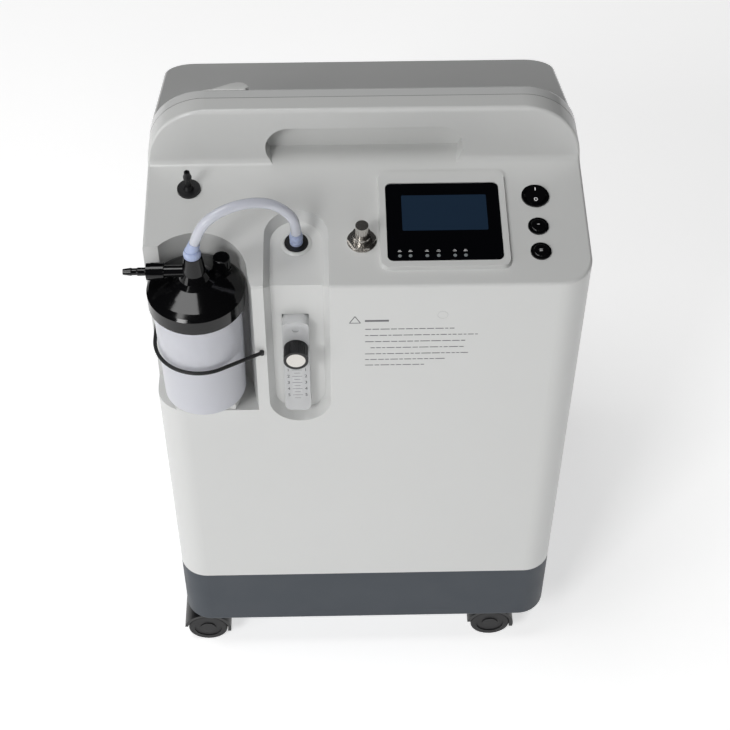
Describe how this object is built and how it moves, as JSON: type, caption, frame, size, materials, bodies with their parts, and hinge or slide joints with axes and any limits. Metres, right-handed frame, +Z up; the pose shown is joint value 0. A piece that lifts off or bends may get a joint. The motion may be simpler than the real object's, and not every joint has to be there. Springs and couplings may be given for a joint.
{
  "type": "oxygen concentrator",
  "caption": "Wheeled home oxygen concentrator with a sloping control deck, handle ridge, flowmeter channel and side humidifier bottle.",
  "frame": {"origin": "bottom centre of the whole machine on the floor", "axes": "+Z up, +Y towards the back, +X to the right seen from the front"},
  "size_m": [0.3786, 0.358, 0.602],
  "materials": {
    "off_white_plastic": "satin off-white moulded plastic",
    "rear_plastic": "glossy off-white moulded plastic",
    "skirt_plastic": "blue-grey moulded plastic",
    "black_gloss": "polished black",
    "black_satin": "fine satin black",
    "caster_tread": "dull black",
    "display_glass": "dark glossy lens",
    "clear_acrylic": "clear acrylic",
    "frosted_bottle": "frosted translucent",
    "pale_blue_plastic": "pale blue",
    "hose_pvc": "soft translucent hose",
    "strap_rubber": "black elastic",
    "nickel": "polished nickel",
    "steel": "brushed",
    "aluminium": "satin",
    "brass": "machined",
    "circuit_board": "green solder mask",
    "sound_box": "grey foam-lined board",
    "filter_foam": "open foam",
    "led_lens": "clear diffused",
    "float_ball": "red ball"
  },
  "bodies": {
    "cabinet": {"back_screws": "steel", "base_tray": "skirt_plastic", "bottle_strap": "strap_rubber", "button_bezels": "black_gloss", "circuit_breaker": "black_satin", "compressor": "aluminium", "compressor_box": "sound_box", "control_board": "circuit_board", "cord_hook": "off_white_plastic", "cylinder_heads": "aluminium", "dip_tube": "led_lens", "display_board": "circuit_board", "display_window": "display_glass", "fan_frame": "black_satin", "filter_foam": "filter_foam", "flowmeter_body": "clear_acrylic", "flowmeter_plug": "clear_acrylic", "front_shell": "off_white_plastic", "heat_exchanger": "aluminium", "humidifier_bottle": "frosted_bottle", "humidifier_lid": "black_gloss", "indicator_leds": "led_lens", "inlet_connector": "pale_blue_plastic", "intake_filter": "black_satin", "lcd_module": "black_satin", "metal_port": "nickel", "muffler": "black_satin", "outlet_connector": "pale_blue_plastic", "outlet_nozzle": "black_gloss", "outlet_port": "black_satin", "oxygen_hose": "hose_pvc", "power_inlet": "black_satin", "power_supply": "steel", "product_tank": "aluminium", "rear_shell": "rear_plastic", "regulator": "brass", "relief_cap": "black_gloss", "rocker_bezel": "black_gloss", "sieve_beds": "aluminium", "solenoids": "steel", "spare_port": "black_satin", "spring_mounts": "steel", "valve_manifold": "aluminium"},
    "power_rocker": {"power_rocker": "black_gloss"},
    "upper_button": {"upper_button": "black_gloss"},
    "lower_button": {"lower_button": "black_gloss"},
    "port_cap": {"port_cap": "nickel"},
    "flow_knob": {"flow_knob": "black_satin"},
    "flow_float": {"flow_float": "float_ball"},
    "fan_rotor": {"fan_rotor": "black_satin"},
    "filter_door": {"filter_door": "off_white_plastic"},
    "breaker_button": {"breaker_button": "off_white_plastic"},
    "caster_front_left": {"caster_hood_front_left": "black_satin"},
    "wheels_front_left": {"caster_wheels_front_left": "caster_tread"},
    "caster_front_right": {"caster_hood_front_right": "black_satin"},
    "wheels_front_right": {"caster_wheels_front_right": "caster_tread"},
    "caster_rear_left": {"caster_hood_rear_left": "black_satin"},
    "wheels_rear_left": {"caster_wheels_rear_left": "caster_tread"},
    "caster_rear_right": {"caster_hood_rear_right": "black_satin"},
    "wheels_rear_right": {"caster_wheels_rear_right": "caster_tread"}
  },
  "joints": [
    {"name": "swivel_front_left", "type": "hinge", "parent": "cabinet", "child": "caster_front_left", "pos_m": [-0.13975, -0.12495, 0.052], "axis": [0, 0, 1], "continuous": true},
    {"name": "roll_front_left", "type": "hinge", "parent": "caster_front_left", "child": "wheels_front_left", "pos_m": [-0.15625, -0.12495, 0.02], "axis": [0, 1, 0], "continuous": true},
    {"name": "swivel_front_right", "type": "hinge", "parent": "cabinet", "child": "caster_front_right", "pos_m": [0.15325, -0.12495, 0.052], "axis": [0, 0, 1], "continuous": true},
    {"name": "roll_front_right", "type": "hinge", "parent": "caster_front_right", "child": "wheels_front_right", "pos_m": [0.13675, -0.12495, 0.02], "axis": [0, 1, 0], "continuous": true},
    {"name": "swivel_rear_left", "type": "hinge", "parent": "cabinet", "child": "caster_rear_left", "pos_m": [-0.13975, 0.14705, 0.052], "axis": [0, 0, 1], "continuous": true},
    {"name": "roll_rear_left", "type": "hinge", "parent": "caster_rear_left", "child": "wheels_rear_left", "pos_m": [-0.15625, 0.14705, 0.02], "axis": [0, 1, 0], "continuous": true},
    {"name": "swivel_rear_right", "type": "hinge", "parent": "cabinet", "child": "caster_rear_right", "pos_m": [0.15325, 0.14705, 0.052], "axis": [0, 0, 1], "continuous": true},
    {"name": "roll_rear_right", "type": "hinge", "parent": "caster_rear_right", "child": "wheels_rear_right", "pos_m": [0.13675, 0.14705, 0.02], "axis": [0, 1, 0], "continuous": true},
    {"name": "rocker_tilt", "type": "hinge", "parent": "cabinet", "child": "power_rocker", "pos_m": [0.14775, -0.06502, 0.54585], "axis": [-1, 0, 0], "range_deg": [0, 18]},
    {"name": "upper_button_press", "type": "slide", "parent": "cabinet", "child": "upper_button", "axis": [0, 0.1473, -0.9891], "range_m": [0, 0.0015], "stiffness_N_per_m": 600},
    {"name": "lower_button_press", "type": "slide", "parent": "cabinet", "child": "lower_button", "axis": [0, 0.1473, -0.9891], "range_m": [0, 0.0015], "stiffness_N_per_m": 600},
    {"name": "breaker_button_trip", "type": "slide", "parent": "cabinet", "child": "breaker_button", "axis": [0, 1, 0], "range_m": [0, 0.003]},
    {"name": "port_cap_turn", "type": "hinge", "parent": "cabinet", "child": "port_cap", "pos_m": [0.00275, -0.11022, 0.55065], "axis": [0, -0.1473, 0.9891], "range_deg": [0, 1080]},
    {"name": "knob_turn", "type": "hinge", "parent": "cabinet", "child": "flow_knob", "pos_m": [-0.05275, -0.15995, 0.4595], "axis": [0, -1, 0], "range_deg": [0, 1080]},
    {"name": "float_lift", "type": "slide", "parent": "cabinet", "child": "flow_float", "axis": [0, 0, 1], "range_m": [0, 0.044]},
    {"name": "fan_spin", "type": "hinge", "parent": "cabinet", "child": "fan_rotor", "pos_m": [0.00675, 0.01005, 0.25], "axis": [0, 0, 1], "continuous": true},
    {"name": "door_pull", "type": "slide", "parent": "cabinet", "child": "filter_door", "axis": [0, 1, 0], "range_m": [0, 0.05]}
  ]
}
